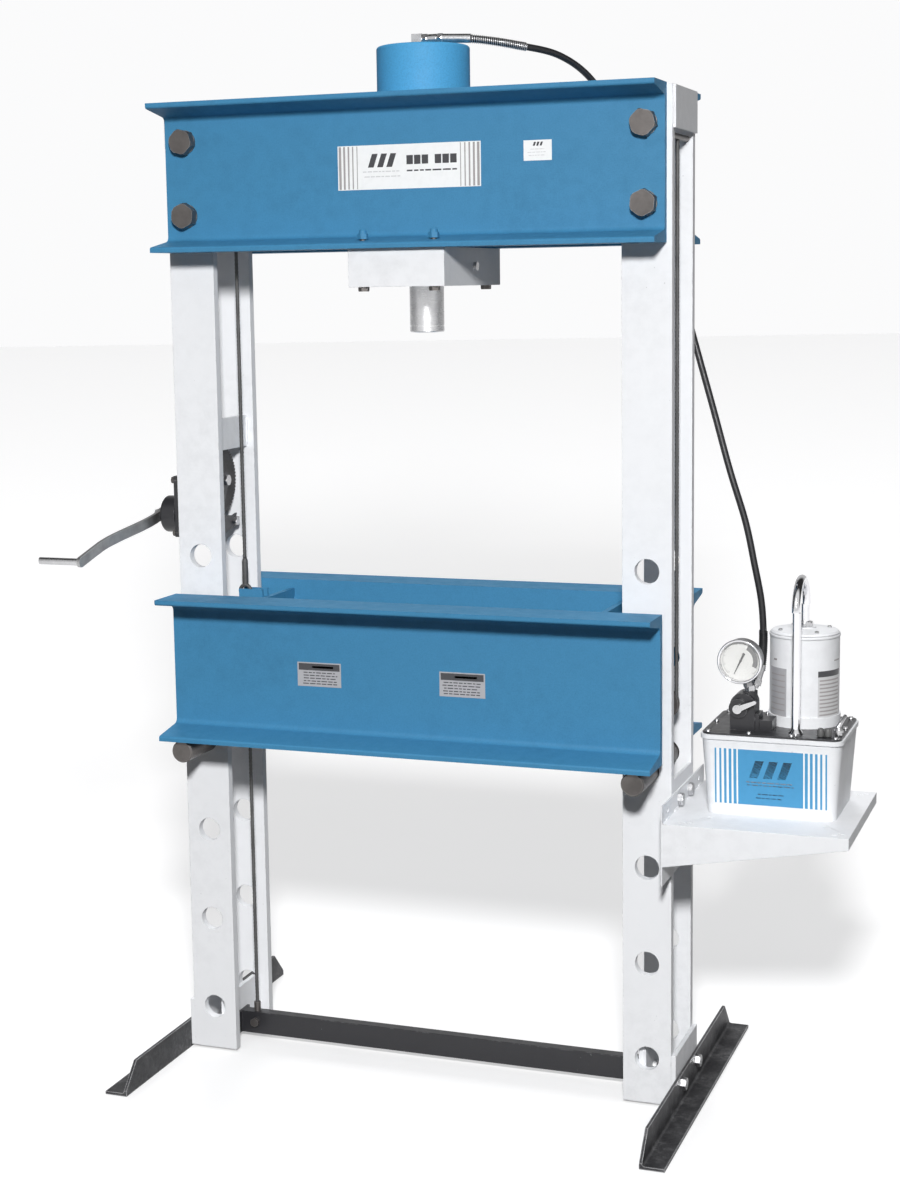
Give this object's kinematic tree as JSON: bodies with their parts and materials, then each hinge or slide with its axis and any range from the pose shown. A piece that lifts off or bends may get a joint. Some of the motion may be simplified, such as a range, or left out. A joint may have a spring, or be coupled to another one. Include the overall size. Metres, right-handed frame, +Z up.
{
  "type": "hydraulic shop press",
  "caption": "H-frame hydraulic shop press with an overhead cylinder, a winch-raised bed resting on two pins, a side shelf and an electric pump with gauge and hose.",
  "frame": {"origin": "on the floor, midway between the two uprights and between their front and rear bars", "axes": "+X to the pump side, +Y to the rear, +Z up"},
  "size_m": [1.664, 0.8, 2.199],
  "materials": {
    "frame_white": "semi-gloss white paint, lightly scuffed",
    "beam_blue": "semi-gloss blue paint",
    "cylinder_blue": "gloss light blue paint",
    "black_paint": "satin black paint",
    "mill_scale": "dark satin mill scale under thin black paint",
    "bright_steel": "bright turned steel",
    "dark_steel": "dark oxide steel",
    "wire_rope": "galvanised wire rope",
    "spring_steel": "oil-hardened spring wire",
    "chrome": "polished chrome plate",
    "hose_rubber": "smooth black hose cover",
    "gauge_black": "glossy black case",
    "dial_white": "white enamelled dial",
    "needle_black": "black needle"
  },
  "bodies": {
    "frame": {"left_post_front": "frame_white", "left_post_rear": "frame_white", "right_post_front": "frame_white", "right_post_rear": "frame_white", "tie_plates": "frame_white", "head_channel_front": "beam_blue", "head_channel_rear": "beam_blue", "head_bolts": "dark_steel", "head_nuts": "dark_steel", "cylinder_barrel": "cylinder_blue", "cylinder_gland": "bright_steel", "cylinder_block": "frame_white", "block_bolts": "dark_steel", "block_nuts": "beam_blue", "return_spring": "spring_steel", "foot_left": "mill_scale", "foot_right": "mill_scale", "stretcher": "black_paint", "frame_bolts": "bright_steel", "shelf": "frame_white", "pump_tank": "frame_white", "pump_cover": "black_paint", "cover_screws": "bright_steel", "motor_shell": "frame_white", "carry_handle": "chrome", "handle_nuts": "bright_steel", "valve_block": "black_paint", "gauge_case": "gauge_black", "gauge_dial": "dial_white", "pressure_hose": "hose_rubber", "hose_fittings": "bright_steel", "winch_base": "black_paint", "winch_housing": "black_paint", "winch_side_plate": "black_paint", "winch_axle": "bright_steel", "hoist_rope_up": "wire_rope", "hoist_rope_down": "wire_rope", "level_rope_left": "wire_rope", "level_rope_right": "wire_rope", "rope_anchors": "dark_steel"},
    "ram": {"ram_rod": "bright_steel", "ram_piston": "bright_steel"},
    "bed": {"bed_channel_front": "beam_blue", "bed_channel_rear": "beam_blue", "bed_crossmembers": "beam_blue", "bed_guide_pads": "beam_blue", "rope_eye": "wire_rope", "level_rope_bed": "wire_rope"},
    "pin_left": {"pin_left": "dark_steel"},
    "pin_right": {"pin_right": "dark_steel"},
    "crank": {"crank_shaft": "bright_steel", "crank_arm": "bright_steel"},
    "grip": {"crank_grip": "bright_steel"},
    "drum": {"drum_gear": "dark_steel", "rope_coils": "wire_rope"},
    "top_sheave": {"top_sheave": "dark_steel"},
    "bed_sheave_left": {"bed_sheave_left": "dark_steel"},
    "bed_sheave_right": {"bed_sheave_right": "dark_steel"},
    "valve_lever": {"valve_lever": "bright_steel"},
    "gauge_needle": {"gauge_needle": "needle_black"}
  },
  "joints": [
    {"name": "bed_lift", "type": "slide", "parent": "frame", "child": "bed", "axis": [0, 0, 1], "range_m": [0, 0.4064], "deforming": ["hoist_rope_down", "level_rope_left", "level_rope_right"]},
    {"name": "ram_slide", "type": "slide", "parent": "frame", "child": "ram", "axis": [0, 0, -1], "range_m": [0, 0.16], "deforming": ["return_spring"]},
    {"name": "pin_left_pull", "type": "slide", "parent": "frame", "child": "pin_left", "axis": [0, -1, 0], "range_m": [0, 0.45]},
    {"name": "pin_right_pull", "type": "slide", "parent": "frame", "child": "pin_right", "axis": [0, -1, 0], "range_m": [0, 0.45]},
    {"name": "drum_spin", "type": "hinge", "parent": "frame", "child": "drum", "pos_m": [-0.52, 0, 1.272], "axis": [1, 0, 0], "range_deg": [-834, 0]},
    {"name": "crank_spin", "type": "hinge", "parent": "frame", "child": "crank", "pos_m": [-0.55, -0.056, 1.20154], "axis": [1, 0, 0], "range_deg": [0, 3448]},
    {"name": "grip_spin", "type": "hinge", "parent": "crank", "child": "grip", "pos_m": [-0.7, -0.33908, 1.12992], "axis": [1, 0, 0], "continuous": true},
    {"name": "top_sheave_spin", "type": "hinge", "parent": "frame", "child": "top_sheave", "pos_m": [-0.476, 0, 1.916], "axis": [0, 1, 0], "range_deg": [-600, 0]},
    {"name": "bed_sheave_left_spin", "type": "hinge", "parent": "bed", "child": "bed_sheave_left", "pos_m": [-0.407, 0, 0.77], "axis": [0, 1, 0], "range_deg": [-779, 0]},
    {"name": "bed_sheave_right_spin", "type": "hinge", "parent": "bed", "child": "bed_sheave_right", "pos_m": [0.503, 0, 0.83], "axis": [0, 1, 0], "range_deg": [-779, 0]},
    {"name": "valve_lever_turn", "type": "hinge", "parent": "frame", "child": "valve_lever", "pos_m": [0.672, -0.06, 0.84], "axis": [0, 1, 0], "range_deg": [-70, 40]},
    {"name": "gauge_needle_turn", "type": "hinge", "parent": "frame", "child": "gauge_needle", "pos_m": [0.676, -0.051, 0.937], "axis": [0, 1, 0], "range_deg": [0, 270]}
  ],
  "couplings": [
    {"joint": "drum_spin", "follows": "bed_lift", "rad_per_m": -35.714},
    {"joint": "crank_spin", "follows": "bed_lift", "rad_per_m": 147.96},
    {"joint": "top_sheave_spin", "follows": "bed_lift", "rad_per_m": -25.641},
    {"joint": "bed_sheave_left_spin", "follows": "bed_lift", "rad_per_m": -33.333},
    {"joint": "bed_sheave_right_spin", "follows": "bed_lift", "rad_per_m": -33.333}
  ]
}
